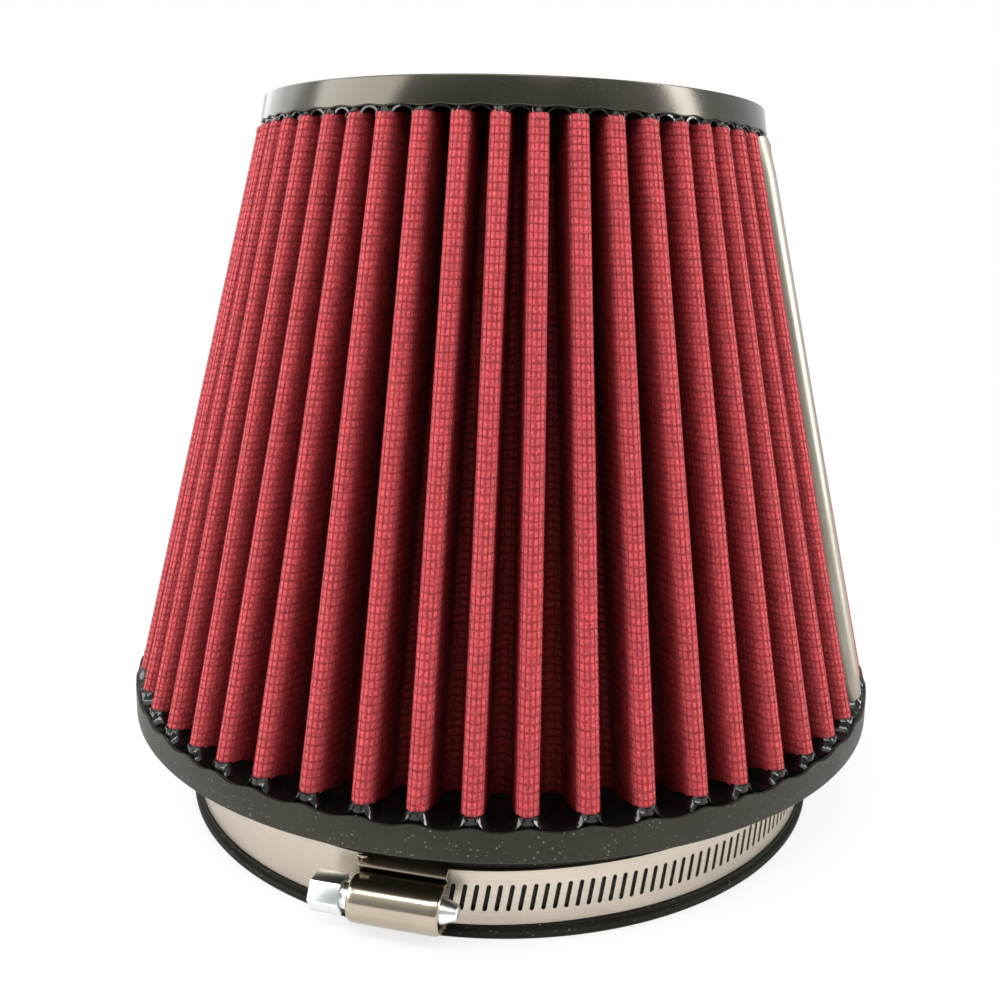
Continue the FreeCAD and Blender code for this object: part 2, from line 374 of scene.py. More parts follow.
class Folds:
    """Where a station of a fold lies, at any share of the height and any depth."""

    def __init__(self, pleats):
        self.pleats = pleats
        self.half = math.pi / pleats.count
        crest = pleats.crest_head - pleats.fold_head
        valley = pleats.crest_head - pleats.depth + pleats.gap_head
        across = valley * math.sin(self.half)
        along = valley * math.cos(self.half) - crest
        reach = (pleats.fold_head + pleats.gap_head) / math.hypot(across, along)
        self.lean = math.atan2(along, across) + math.acos(reach)
        self.turn = math.pi / 2 - self.lean
        self.foot = self.circles(pleats.crest_foot, pleats.fold_foot)
        self.head = self.circles(pleats.crest_head, pleats.fold_head)
        draws = random.Random(pleats.seed)
        self.stray_foot = [draws.gauss(0, pleats.uneven) for _ in range(pleats.count)]
        self.stray_head = [draws.gauss(0, pleats.uneven) for _ in range(pleats.count)]
        for k, (foot, head) in enumerate(zip(SEEN_STRAYS_FOOT, SEEN_STRAYS_HEAD)):
            self.stray_foot[FIRST_SEEN_CREST + k] = math.radians(foot)
            self.stray_head[FIRST_SEEN_CREST + k] = math.radians(head)

    def circles(self, crest_radius, fold):
        """Centre and radius of the crest's circle, then of the valley's."""
        centre = crest_radius - fold
        face = crest_radius - self.pleats.depth
        reach = math.sin(self.half + self.lean)
        spare = face * reach - fold - centre * math.sin(self.lean)
        gap = spare / (1 - reach)
        return np.array([centre, fold, face + gap, gap])

    def section(self, share):
        """The crest's and the valley's circles at a share of the height."""
        return self.foot + (self.head - self.foot) * share

    def lengths(self, share):
        """Lengths of a valley's half, a flank and a crest, along the fold."""
        centre, fold, valley, gap = self.section(share)
        start = np.array([centre + fold * math.cos(self.turn), fold * math.sin(self.turn)])
        end = np.array([valley * math.cos(self.half) - gap * math.cos(self.turn),
                        valley * math.sin(self.half) - gap * math.sin(self.turn)])
        return gap * (self.turn - self.half), float(np.linalg.norm(end - start)), 2 * fold * self.turn

    def station(self, place):
        """Normal's turn, share of the way from crest to valley, and side, at a place from 0 to 1."""
        valley, flank, crest = self.lengths(0.5)
        run = place * 2 * (valley + flank + crest / 2) - valley - flank - crest / 2
        side = 1 if run >= 0 else -1
        run = abs(run)
        if run <= crest / 2:
            return side * self.turn * run / (crest / 2), 0.0, side
        if run <= crest / 2 + flank:
            return side * self.turn, (run - crest / 2) / flank, side
        past = (run - crest / 2 - flank) / valley
        return side * (self.turn + (self.half - self.turn) * past), 1.0, side

    def even_stations(self, count):
        """Stations evenly spaced along the fold."""
        return [self.station((k + 0.5) / count) for k in range(count)]

    def runs(self, stations):
        """How far along the fold each station lies, from 0 to 1."""
        points = np.array([self.local(station, 0.5, 0.0) for station in stations])
        steps = np.linalg.norm(np.diff(points, axis=0), axis=1)
        total = np.concatenate([[0.0], np.cumsum(steps)])
        return total / total[-1]

    def corner_stations(self, crest_steps, flank_steps, valley_steps):
        """Stations with a chosen number of steps on each stretch of the fold."""
        half_fold = []
        for k in range(crest_steps // 2 + 1):
            half_fold.append((self.turn * 2 * k / crest_steps, 0.0))
        for k in range(1, flank_steps + 1):
            half_fold.append((self.turn, k / flank_steps))
        for k in range(1, valley_steps + 1):
            half_fold.append((self.turn + (self.half - self.turn) * k / valley_steps, 1.0))
        left = [(-turn, way, -1) for turn, way in half_fold[:0:-1]]
        right = [(turn, way, 1) for turn, way in half_fold]
        return left + right

    def local(self, station, share, proud):
        """Along and across a crest's radial line."""
        turn, way, side = station
        centre, fold, valley, gap = self.section(share)
        along_crest = centre + (fold + proud) * math.cos(turn)
        across_crest = (fold + proud) * math.sin(turn)
        along_valley = valley * math.cos(self.half) - (gap - proud) * math.cos(turn)
        across_valley = side * valley * math.sin(self.half) - (gap - proud) * math.sin(turn)
        along = along_crest + way * (along_valley - along_crest)
        across = across_crest + way * (across_valley - across_crest)
        return along, across

    def depths(self, stations):
        """How deep each station lies in the fold, from 0 on the crest to 1 in the valley."""
        points = np.array([self.local(station, 0.5, 0.0) for station in [(0.0, 0.0, 1)] + stations])
        end = np.array(self.local((self.half, 1.0, 1), 0.5, 0.0))
        return np.abs(points[1:, 0] - points[0, 0]) / (points[0, 0] - end[0])

    def height(self, share):
        """Height at a share of the way up the pleats."""
        return PLEAT_FOOT + (PLEAT_HEAD - PLEAT_FOOT) * share

    def share(self, z):
        """Share of the way up the pleats at a height."""
        return (z - PLEAT_FOOT) / (PLEAT_HEAD - PLEAT_FOOT)

    def rows(self, between):
        """Shares of the height up the whole sheet, close together where its ends are drawn in."""
        set_in = self.pleats.set_in
        heights = [PLEAT_FOOT - set_in]
        heights += [PLEAT_FOOT + DRAW_BEYOND * (k / DRAW_ROWS * 2 - 1) for k in range(DRAW_ROWS + 1)]
        step = (PLEAT_HEAD - PLEAT_FOOT - 2 * DRAW_BEYOND) / between
        heights += [PLEAT_FOOT + DRAW_BEYOND + step * k for k in range(1, between)]
        heights += [PLEAT_HEAD + DRAW_BEYOND * (k / DRAW_ROWS * 2 - 1) for k in range(DRAW_ROWS + 1)]
        heights.append(PLEAT_HEAD + set_in)
        return [self.share(z) for z in heights]

    def drawn_in(self, z):
        """How far the folds' ends are drawn in where the rubber holds them."""
        foot = soft_step(-DRAW_BEYOND, DRAW_BEYOND, PLEAT_FOOT - z)
        head = soft_step(-DRAW_BEYOND, DRAW_BEYOND, z - PLEAT_HEAD)
        return foot * DRAW_FOOT + head * DRAW_HEAD

    def point(self, station, share, proud, number=0):
        """A point of fold number, in the shared frame, before it settles."""
        along, across = self.local(station, share, proud)
        along -= self.drawn_in(self.height(share))
        turn = self.pleats.first_crest + 2 * self.half * number
        x = along * math.sin(turn) + across * math.cos(turn)
        y = -along * math.cos(turn) + across * math.sin(turn)
        return Vector((x, y, self.height(share)))

    def outward(self, station, number=0):
        """The way a fold's face looks at a station."""
        turn = self.pleats.first_crest + 2 * self.half * number + station[0]
        return Vector((math.sin(turn), -math.cos(turn), 0))

    def stray(self, theta, share):
        """How far the folds have strayed at an angle and height."""
        place = (theta - self.pleats.first_crest) / (2 * self.half)
        number = np.floor(place).astype(int)
        part = place - number
        part = part * part * (3 - 2 * part)
        count = self.pleats.count
        result = 0.0
        for strays, weight in ((self.stray_foot, 1 - share), (self.stray_head, share)):
            strays = np.array(strays)
            near = strays[number % count]
            far = strays[(number + 1) % count]
            result = result + weight * (near + (far - near) * part)
        return result

    def settled(self, points):
        """Points moved with the folds' unevenness; any array that ends in x, y, z."""
        theta = np.arctan2(points[..., 0], -points[..., 1])
        radius = np.hypot(points[..., 0], points[..., 1])
        share = np.clip(self.share(points[..., 2]), 0, 1)
        theta = theta + self.stray(theta, share)
        return np.stack([radius * np.sin(theta), -radius * np.cos(theta), points[..., 2]], axis=-1)

    def settle(self, obj):
        """Move a mesh with the folds' unevenness."""
        count = len(obj.data.vertices)
        coords = np.empty(count * 3)
        obj.data.vertices.foreach_get("co", coords)
        coords = self.settled(coords.reshape(count, 3))
        obj.data.vertices.foreach_set("co", coords.ravel())
        obj.data.update()

    def clearance(self, along, across, share):
        """Distance from a point between the folds to the nearest fold's face."""
        centre, fold, valley, gap = self.section(share)
        across = abs(across)
        bearing = math.atan2(across, along - centre)
        if bearing < self.turn:
            to_crest = math.hypot(along - centre, across) - fold
        else:
            to_crest = (along - centre) * math.cos(self.turn) + across * math.sin(self.turn) - fold
        over_x = along - valley * math.cos(self.half)
        over_y = across - valley * math.sin(self.half)
        inward = -over_x * math.cos(self.half) - over_y * math.sin(self.half)
        if inward > 0:
            return min(to_crest, gap - math.hypot(over_x, over_y))
        return to_crest


# Materials


def node_material(name):
    """An empty procedural material with its shader."""
    material = bpy.data.materials.new(name)
    material.use_nodes = True
    tree = material.node_tree
    shader = tree.nodes["Principled BSDF"]
    return material, tree, shader


def fed(tree, node, **sources):
    """Link results into a node's sockets, or set them, by socket name."""
    for socket, source in sources.items():
        target = node.inputs[socket.replace("_", " ")]
        if hasattr(source, "is_output"):
            tree.links.new(source, target)
        else:
            target.default_value = source


def linked(tree, kind, settings=None, **sources):
    """A node with its settings, and values or links on its sockets, by socket name."""
    node = tree.nodes.new(kind)
    for key, value in (settings or {}).items():
        setattr(node, key, value)
    fed(tree, node, **sources)
    return node


def place_of(tree, scale=(1, 1, 1)):
    """Coordinates of a piece, scaled."""
    source = tree.nodes.new("ShaderNodeTexCoord").outputs["Object"]
    mapping = tree.nodes.new("ShaderNodeMapping")
    mapping.inputs["Scale"].default_value = scale
    tree.links.new(source, mapping.inputs["Vector"])
    return mapping.outputs["Vector"]


def noise(tree, vector, scale, detail=4.0, roughness=0.55):
    """Cloudy values round 0.5, with so many to a metre."""
    node = linked(tree, "ShaderNodeTexNoise", Vector=vector, Scale=scale,
                  Detail=detail, Roughness=roughness)
    return node.outputs["Fac"]


def ramp(tree, source, *stops):
    """A colour ramp from (position, colour) stops."""
    node = tree.nodes.new("ShaderNodeValToRGB")
    elements = node.color_ramp.elements
    while len(elements) < len(stops):
        elements.new(0.5)
    for element, (position, value) in zip(elements, stops):
        element.position = position
        element.color = (*value, 1) if hasattr(value, "__len__") else (value, value, value, 1)
    tree.links.new(source, node.inputs["Fac"])
    return node.outputs["Color"]


def bump(tree, shader, height, strength, distance):
    """Raise a shader's surface by a height."""
    node = linked(tree, "ShaderNodeBump", Height=height, Strength=strength, Distance=distance)
    tree.links.new(node.outputs["Normal"], shader.inputs["Normal"])


def toned(value, factor):
    """A colour made lighter or darker."""
    return tuple(min(1.0, channel * factor) for channel in value)


def maths(tree, operation, first, second=None):
    """The result of one calculation on sockets or numbers."""
    node = tree.nodes.new("ShaderNodeMath")
    node.operation = operation
    for socket, source in zip(node.inputs, (first, second)):
        if hasattr(source, "is_output"):
            tree.links.new(source, socket)
        elif source is not None:
            socket.default_value = source
    return node.outputs[0]


def multiplied(tree, first, second):
    """One colour darkened by another."""
    node = linked(tree, "ShaderNodeMixRGB", {"blend_type": "MULTIPLY"},
                  Fac=1.0, Color1=first, Color2=second)
    return node.outputs["Color"]


def mixed(tree, share, first, second):
    """One shader changing to another."""
    node = linked(tree, "ShaderNodeMixShader", Fac=share)
    tree.links.new(first.outputs[0], node.inputs[1])
    tree.links.new(second.outputs[0], node.inputs[2])
    return node.outputs[0]


def split(tree, vector):
    """The X, Y and Z of a vector."""
    node = tree.nodes.new("ShaderNodeSeparateXYZ")
    tree.links.new(vector, node.inputs[0])
    return node.outputs


# Below this height the lip is in the collar's shade, so a painted shade makes it shine less
LIP_SHADE_HEIGHT = 4 * MM
LIP_SHADE = 0.3
DUST = (0.32, 0.29, 0.25, 1)
RUBBER_TINT = (1.0, 0.91, 0.74, 1)


def rubber_material(name, base, roughness, speckle, shine):
    """Black moulded rubber with fine grain, pale dust specks, uneven sheen and a painted shade that dulls
    the lip's shine.
    """
    material, tree, shader = node_material(name)
    place = place_of(tree)
    grain = noise(tree, place, scale=2600.0, detail=3.0)
    patches = noise(tree, place, scale=55.0, detail=5.0)
    body = ramp(tree, patches, (0.3, toned(base, 0.75)), (0.7, toned(base, 1.45)))
    specks = linked(tree, "ShaderNodeTexVoronoi", Vector=place, Scale=900.0).outputs["Distance"]
    mask = ramp(tree, specks, (0.05, 1.0), (0.24, 0.0))
    sparse = ramp(tree, noise(tree, place, scale=300.0, detail=2.0), (0.42, 0.0), (0.62, speckle * 0.6))
    amount = maths(tree, "MULTIPLY", mask, sparse)
    dusty = linked(tree, "ShaderNodeMixRGB", Fac=amount, Color1=body, Color2=DUST)
    level = maths(tree, "MULTIPLY", split(tree, place)["Z"], 1 / LIP_SHADE_HEIGHT)
    fed(tree, shader,
        Base_Color=dusty.outputs["Color"],
        Roughness=ramp(tree, patches, (0.3, roughness - 0.07), (0.75, roughness + 0.08)),
        Specular_IOR_Level=ramp(tree, level, (0.75, shine * LIP_SHADE), (1.0, shine)),
        Specular_Tint=RUBBER_TINT)
    bump(tree, shader, grain, strength=0.25, distance=0.06 * MM)
    return material


def potting_material(base):
    """Wet-looking rubber that has crept up the pleats."""
    material, tree, shader = node_material("glossy_set_rubber")
    place = place_of(tree)
    patches = noise(tree, place, scale=140.0, detail=3.0)
    fed(tree, shader,
        Base_Color=ramp(tree, patches, (0.3, toned(base, 0.6)), (0.8, toned(base, 2.2))),
        Roughness=ramp(tree, patches, (0.35, 0.06), (0.8, 0.16)),
        Specular_IOR_Level=0.38)
    bump(tree, shader, noise(tree, place, scale=420.0, detail=2.0), strength=0.35, distance=0.5 * MM)
    return material


# How dark the painted shade makes the folds, from the crest (0) down to the valley (1)
PAINTED_VALLEY_SHADE = ((0.08, (1, 1, 1)), (0.3, (0.5, 0.38, 0.38)), (0.58, (0.24, 0.21, 0.17)),
               (0.86, (0.14, 0.18, 0.12)), (1.0, (0.28, 0.22, 0.2)))
# How the painted shade darkens the gauze beside a wire, and the fuzz on its crests
PAINTED_WIRE_SHADE = (0.84, 0.7, 0.73)
FUZZ_TINT = (1.0, 0.6, 0.58, 1)
FUZZ_SHARE = 0.75
ACROSS_SHARPNESS = 7.0
UPRIGHT_SHARPNESS = 5.0


def near_lines(tree, place, count, sharpness):
    """From 0 in the middle of a cell to 1 at its lines, with so many lines from 0 to 1."""
    wave = maths(tree, "SINE", maths(tree, "MULTIPLY", place, math.pi * count))
    return maths(tree, "POWER", maths(tree, "ABSOLUTE", wave), sharpness)


def depth_of(tree):
    """The depth in the fold that a mesh keeps."""
    return linked(tree, "ShaderNodeAttribute", {"attribute_name": "depth"}).outputs["Fac"]


def cotton_material(base, cells):
    """Oiled gauze that swells between the wires, with painted shade beside the wires and deeper down in the
    valleys.
    """
    material, tree, shader = node_material("oiled_red_cotton")
    along, upright, _ = split(tree, tree.nodes.new("ShaderNodeTexCoord").outputs["UV"])
    wires = maths(tree, "MAXIMUM", near_lines(tree, along, cells[0], ACROSS_SHARPNESS),
                  near_lines(tree, upright, cells[1], UPRIGHT_SHARPNESS))
    blotches = noise(tree, place_of(tree), scale=230.0, detail=6.0, roughness=0.65)
    fuzz = noise(tree, place_of(tree), scale=1500.0, detail=3.0, roughness=0.6)
    mottle = maths(tree, "ADD", maths(tree, "MULTIPLY", blotches, 1 - FUZZ_SHARE),
                   maths(tree, "MULTIPLY", fuzz, FUZZ_SHARE))
    body = ramp(tree, mottle, (0.4, toned(base, 0.7)), (0.5, base), (0.6, toned(base, 1.32)))
    # Painted shade beside each wire darkens the mottled cloth
    wire_shaded_body = multiplied(tree, body, ramp(tree, wires, (0.25, (1, 1, 1)), (0.95, PAINTED_WIRE_SHADE)))
    depth = depth_of(tree)
    # Painted shade darkens the cloth deeper down in the folds, and fades its shine and sheen there
    fed(tree, shader,
        Base_Color=multiplied(tree, wire_shaded_body, ramp(tree, depth, *PAINTED_VALLEY_SHADE)),
        Roughness=ramp(tree, blotches, (0.3, 0.58), (0.7, 0.8)),
        Specular_IOR_Level=ramp(tree, depth, (0.1, 0.22), (0.4, 0.02)),
        Sheen_Weight=ramp(tree, depth, (0.06, 0.5), (0.3, 0.0)),
        Sheen_Roughness=0.3,
        Sheen_Tint=FUZZ_TINT)
    height = maths(tree, "SUBTRACT", maths(tree, "MULTIPLY", fuzz, 0.5), wires)
    bump(tree, shader, height, strength=0.7, distance=0.16 * MM)
    return material


def wire_material(base):
    """Dark coated wire, lighter where the coat is thin, with painted shade deeper down in the valleys."""
    material, tree, shader = node_material("coated_wire")
    wear = noise(tree, place_of(tree), scale=420.0, detail=3.0)
    coat = ramp(tree, wear, (0.35, toned(base, 0.75)), (0.72, toned(base, 1.5)))
    depth = depth_of(tree)
    # Painted shade darkens the wires deeper down in the folds, and dulls their shine there
    fed(tree, shader,
        Base_Color=multiplied(tree, coat, ramp(tree, depth, *PAINTED_VALLEY_SHADE)),
        Roughness=ramp(tree, wear, (0.3, 0.5), (0.7, 0.68)),
        Specular_IOR_Level=ramp(tree, depth, (0.1, 0.2), (0.4, 0.02)))
    return material


# Scale of the streaks across and along a strip
STREAKS = (30.0, 30.0, 5200.0)


def steel_material(name, base, roughness, streaks, clouds):
    """Bare metal: fine streaks along the strip and clouds of handling."""
    material, tree, shader = node_material(name)
    lines = noise(tree, place_of(tree, STREAKS), scale=1.0, detail=3.0)
    haze = noise(tree, place_of(tree), scale=70.0)
    tone = linked(tree, "ShaderNodeMixRGB", Fac=streaks, Color1=haze, Color2=lines).outputs["Color"]
    fed(tree, shader,
        Metallic=1.0,
        Base_Color=ramp(tree, tone, (0.3, toned(base, 0.86)), (0.7, toned(base, 1.1))),
        Roughness=ramp(tree, tone, (0.3, roughness + clouds), (0.7, roughness)))
    bump(tree, shader, lines, strength=0.12, distance=0.02 * MM)
    return material


def fibre_material(base):
    """Loose ends of cotton, paler than the oil-soaked cloth."""
    material, tree, shader = node_material("loose_fibre")
    shade = noise(tree, place_of(tree), scale=260.0, detail=2.0)
    fed(tree, shader, Base_Color=ramp(tree, shade, (0.35, toned(base, 0.55)), (0.65, base)), Roughness=0.8)
    return material


# Pleat pack

# How far the wires' middles stand off the pack's outer face, and how unevenly the level ones hang
UPRIGHT_WIRES_PROUD = -0.09 * MM
LEVEL_WIRES_PROUD = -0.04 * MM
LEVEL_WIRE_SAG = 0.07 * MM


class FILTER_OT_cotton(bpy.types.Operator):
    """Fold the red cotton round the cone"""
    bl_idname = "filter.cotton"
    bl_label = "Cotton"

    def execute(self, context):
        pleats = context.scene.filter_pleats
        screens = context.scene.filter_screens
        folds = Folds(pleats)
        stations = folds.corner_stations(crest_steps=10, flank_steps=3, valley_steps=4)
        shares = folds.rows(between=4)
        columns = len(stations) - 1
        rows = len(shares) - 1
        sheet = add_grid("cotton_pleats", columns, rows)
        rises = [(share - shares[0]) / (shares[-1] - shares[0]) for share in shares]
        lay_uv(sheet, folds.runs(stations), rises)
        lay_depth(sheet, columns, folds.depths(stations))
        shape_grid(sheet, columns, rows, lambda column, row: folds.point(
            stations[column], shares[row], -pleats.cotton_below))
        copied_round(sheet, pleats.count)
        folds.settle(sheet)
        face_outwards(sheet)
        modified(sheet, "SOLIDIFY", thickness=pleats.cotton_thick, offset=-1)
        smoothed(sheet, degrees=60)
        cells = (uprights_per_fold(folds, screens.upright_pitch),
                 len(level_heights(pleats, screens.level_pitch)))
        material = cotton_material(tint(context, "cotton"), cells)
        dressed(sheet, material, FILTER, "oiled_cotton", "cotton_media")
        return {"FINISHED"}


def level_wires(name, folds, heights, stations, proud, radius, draws):
    """Wires that follow the folds round the cone at each height, not quite level."""
    count = folds.pleats.count
    places = [(station, number) for number in range(count) for station in stations]
    paths = np.empty((len(heights), len(places), 3))
    outward = np.empty_like(paths)
    outward[:] = [tuple(folds.outward(station, number)) for station, number in places]
    part = np.tile((np.arange(len(stations)) + 0.5) / len(stations), count)
    for row, z in enumerate(heights):
        share = folds.share(z)
        paths[row] = [tuple(folds.point(station, share, proud, number)) for station, number in places]
        sag = np.array([draws.gauss(0, LEVEL_WIRE_SAG) for _ in range(count)])
        near = np.repeat(sag, len(stations))
        far = np.repeat(np.roll(sag, -1), len(stations))
        paths[row, :, 2] += near + (far - near) * part
    depth = np.tile(np.tile(folds.depths(stations), count), (len(heights), 1))
    return strands(name, folds.settled(paths), outward, radius, closed=True, depth=depth)


def upright_wires(name, folds, per_fold, shares, proud, radius):
    """Wires that run up the cone, evenly spaced along the folds."""
    stations = folds.even_stations(per_fold)
    count = folds.pleats.count
    paths = []
    outward = []
    for number in range(count):
        for station in stations:
            paths.append([tuple(folds.point(station, share, proud, number)) for share in shares])
            outward.append([tuple(folds.outward(station, number))] * len(shares))
    depth = np.tile(folds.depths(stations), count)
    depth = np.repeat(depth[:, None], len(shares), axis=1)
    return strands(name, folds.settled(np.array(paths)), np.array(outward), radius,
                   closed=False, depth=depth)


def wire_heights(low, high, pitch):
    """Even heights at about a pitch, half of it in from each end."""
    count = round((high - low) / pitch)
    return [low + (high - low) * (k + 0.5) / count for k in range(count)]


def level_heights(pleats, pitch):
    """Heights of the outer screen's level wires, over the whole sheet."""
    return wire_heights(PLEAT_FOOT - pleats.set_in, PLEAT_HEAD + pleats.set_in, pitch)


def uprights_per_fold(folds, pitch):
    """How many upright wires a fold has at about a pitch."""
    valley, flank, crest = folds.lengths(0.5)
    return round((2 * valley + 2 * flank + crest) / pitch)


class FILTER_OT_outer_screen(bpy.types.Operator):
    """Weave the outer wire screen over the cotton"""
    bl_idname = "filter.outer_screen"
    bl_label = "Outer screen"

    def execute(self, context):
        pleats = context.scene.filter_pleats
        screens = context.scene.filter_screens
        folds = Folds(pleats)
        material = wire_material(tint(context, "wire"))
        per_fold = uprights_per_fold(folds, screens.upright_pitch)
        uprights = upright_wires("outer_screen_upright_wires", folds, per_fold, folds.rows(between=2),
                                 UPRIGHT_WIRES_PROUD, screens.wire)
        dressed(uprights, material, FILTER, "outer_wire", "outer_screen")
        stations = folds.corner_stations(crest_steps=6, flank_steps=1, valley_steps=2)[1:]
        heights = level_heights(pleats, screens.level_pitch)
        middle = len(heights) // 2
        draws = random.Random(pleats.seed + 2)
        for name, rows in (("lower", heights[:middle]), ("upper", heights[middle:])):
            wires = level_wires("outer_screen_" + name + "_wires", folds, rows, stations,
                                LEVEL_WIRES_PROUD, screens.wire, draws)
            dressed(wires, material, FILTER, "outer_wire")
        return {"FINISHED"}


class FILTER_OT_inner_screen(bpy.types.Operator):
    """Weave the inner wire screen behind the cotton"""
    bl_idname = "filter.inner_screen"
    bl_label = "Inner screen"

    def execute(self, context):
        pleats = context.scene.filter_pleats
        screens = context.scene.filter_screens
        folds = Folds(pleats)
        material = wire_material(tint(context, "wire"))
        behind = -(pleats.cotton_below + pleats.cotton_thick + screens.inner_wire)
        per_fold = uprights_per_fold(folds, screens.inner_upright_pitch)
        uprights = upright_wires("inner_screen_uprights", folds, per_fold, (0.0, 0.5, 1.0),
                                 behind, screens.inner_wire)
        stations = folds.corner_stations(crest_steps=2, flank_steps=1, valley_steps=2)[1:]
        heights = wire_heights(PLEAT_FOOT, PLEAT_HEAD, screens.inner_level_pitch)
        draws = random.Random(pleats.seed + 3)
        levels = level_wires("inner_screen_levels", folds, heights, stations,
                             behind - screens.inner_wire / 2, screens.inner_wire, draws)
        screen = joined([uprights, levels], "inner_screen_wires")
        dressed(screen, material, FILTER, "inner_wire", "inner_screen")
        return {"FINISHED"}


# Loose fibres: how many on a crest, of how many points, how thick and how far round the crest
FIBRES_PER_CREST = 4
FIBRE_POINTS = 5
FIBRE_RADIUS = 0.045 * MM
FIBRE_BEARING = 1.1
# In millimetres: how far below the heads one starts, how far it rises, leans and stands off
FIBRE_START = (0.4, 2.2)
FIBRE_RISE = (0.8, 2.2)
FIBRE_LEAN = (-0.5, 0.5)
FIBRE_SWELL = (0.1, 0.5)
FIBRE_BEND = 0.8 * math.pi


class FILTER_OT_fibres(bpy.types.Operator):
    """Fray loose cotton ends under the cap"""
    bl_idname = "filter.fibres"
    bl_label = "Loose fibres"

    def execute(self, context):
        pleats = context.scene.filter_pleats
        folds = Folds(pleats)
        draws = random.Random(pleats.seed + 1)
        parts = [step / (FIBRE_POINTS - 1) for step in range(FIBRE_POINTS)]
        paths = []
        outward = []
        for number in range(pleats.count):
            for _ in range(FIBRES_PER_CREST):
                station = (draws.uniform(-FIBRE_BEARING, FIBRE_BEARING), 0.0, 1)
                start = folds.share(PLEAT_HEAD - draws.uniform(*FIBRE_START) * MM)
                rise = draws.uniform(*FIBRE_RISE) * MM
                lean = draws.uniform(*FIBRE_LEAN) * MM
                swell = draws.uniform(*FIBRE_SWELL) * MM
                out = folds.outward(station, number)
                side = Vector((0, 0, 1)).cross(out)
                path = []
                for part in parts:
                    share = start + part * rise / (PLEAT_HEAD - PLEAT_FOOT)
                    point = folds.point(station, share, swell * math.sin(part * FIBRE_BEND), number)
                    path.append(tuple(point + side * lean * part * part))
                paths.append(path)
                outward.append([tuple(out)] * FIBRE_POINTS)
        fibres = strands("loose_fibres", folds.settled(np.array(paths)), np.array(outward),
                         FIBRE_RADIUS, closed=False)
        dressed(fibres, fibre_material(tint(context, "fibre")), FILTER, "oiled_cotton")
        return {"FINISHED"}


# The seam strip: how far down the flanks it grips, how far off the crest it stands, and its metal
SEAM_GRIP = 0.38
SEAM_PROUD = 0.5 * MM
SEAM_THICK = 0.45 * MM
SEAM_ROUNDING = 0.12 * MM
SEAM_ROWS = 16


class FILTER_OT_seam(bpy.types.Operator):
    """Fold the metal strip over the crest where the cotton's ends meet"""
    bl_idname = "filter.seam"
    bl_label = "Seam strip"

    def execute(self, context):
        pleats = context.scene.filter_pleats
        folds = Folds(pleats)
        crest = folds.corner_stations(crest_steps=12, flank_steps=1, valley_steps=1)[2:-2]
        stations = [(-folds.turn, SEAM_GRIP, -1)] + crest + [(folds.turn, SEAM_GRIP, 1)]
        columns = len(stations) - 1
        strip = add_grid("seam_strip_folded", columns, SEAM_ROWS)
        shape_grid(strip, columns, SEAM_ROWS, lambda column, row: folds.point(
            stations[column], row / SEAM_ROWS, SEAM_PROUD, pleats.seam_crest))
        folds.settle(strip)
        modified(strip, "SOLIDIFY", thickness=SEAM_THICK, offset=-1)
        modified(strip, "BEVEL", width=SEAM_ROUNDING, segments=2, limit_method="ANGLE")
        smoothed(strip)
        material = steel_material("seam_metal", tint(context, "seam"),
                                  roughness=0.3, streaks=0.3, clouds=0.2)
        dressed(strip, material, FILTER, "seam_metal", "seam_strip")
        return {"FINISHED"}


# Rubber ends

# Steps of a turned piece to each pleat, and how narrow the waves on the ring's edge are
STEPS_PER_PLEAT = 10
SCALLOP_SHARPNESS = 1.3


def near_crest(folds, theta, sharpness):
    """From 0 between crests to 1 at a crest, at an angle."""
    wave = 0.5 + 0.5 * np.cos((theta - folds.pleats.first_crest) * folds.pleats.count)
    return wave ** sharpness


def rim_weight(co, inside, rise):
    """From 0 to 1 over a millimetre's rise, on the rim outside a radius."""
    if math.hypot(co.x, co.y) <= inside:
        return 0.0
    return min(1.0, max(0.0, rise / MM))


def wave_edge(obj, folds, pick, height, sharpness):
    """Raise the picked rim by the crests' waves."""
    for vertex in obj.data.vertices:
        weight = pick(vertex.co)
        if weight:
            theta = math.atan2(vertex.co.x, -vertex.co.y)
            vertex.co.z += weight * height * float(near_crest(folds, theta, sharpness))


# Radii of the flange and the height of its ring's underside, in millimetres
BORE = 76.2
LIP = 82.2
LIP_STEP = 80.9
LIP_BEAD = 81.15
COLLAR = 80.0
RING_UNDERSIDE = 25.4


class FILTER_OT_flange(bpy.types.Operator):
    """Turn the base ring, collar and lip"""
    bl_idname = "filter.flange"
    bl_label = "Base flange"

    def execute(self, context):
        pleats = context.scene.filter_pleats
        rubber = context.scene.filter_rubber
        folds = Folds(pleats)
        ring = RING_RADIUS / MM
        foot = rubber.pool_foot / MM
        # Each corner's radius, height and rounding
        outline = rounded([
            (BORE, 0.0, 0.8),
            (LIP, 0.0, 1.0),
            (LIP, 1.75, 0.45),
            (LIP_STEP, 1.95, 0.2),
            (LIP_STEP, 2.3, 0.2),
            (LIP_BEAD, 2.35, 0.1),
            (LIP_BEAD, 2.75, 0.15),
            (COLLAR, 2.85, 0.05),
            (COLLAR, RING_UNDERSIDE, 0.9),
            (ring, RING_UNDERSIDE, 0.55),
            (ring, foot + 0.2, 0.1),
            (ring - 0.9, foot + 0.12, 0.1),
            (ring - 1.1, foot - 0.5, 0.0),
            (BORE, foot - 0.5, 0.4),
        ])
        flange = add_outline("rubber_flange", outline)
        turned(flange, pleats.count * STEPS_PER_PLEAT)
        edge = (foot - 0.6) * MM
        inside = (ring - 1.05) * MM
        wave_edge(flange, folds, lambda co: rim_weight(co, inside, co.z - edge),
                  rubber.scallop_foot, SCALLOP_SHARPNESS)
        folds.settle(flange)
        smoothed(flange, degrees=35)
        material = rubber_material("matt_flange_rubber", tint(context, "rubber"),
                                   roughness=0.52, speckle=0.9, shine=0.26)
        dressed(flange, material, FILTER, "flange_rubber", "base_flange")
        return {"FINISHED"}


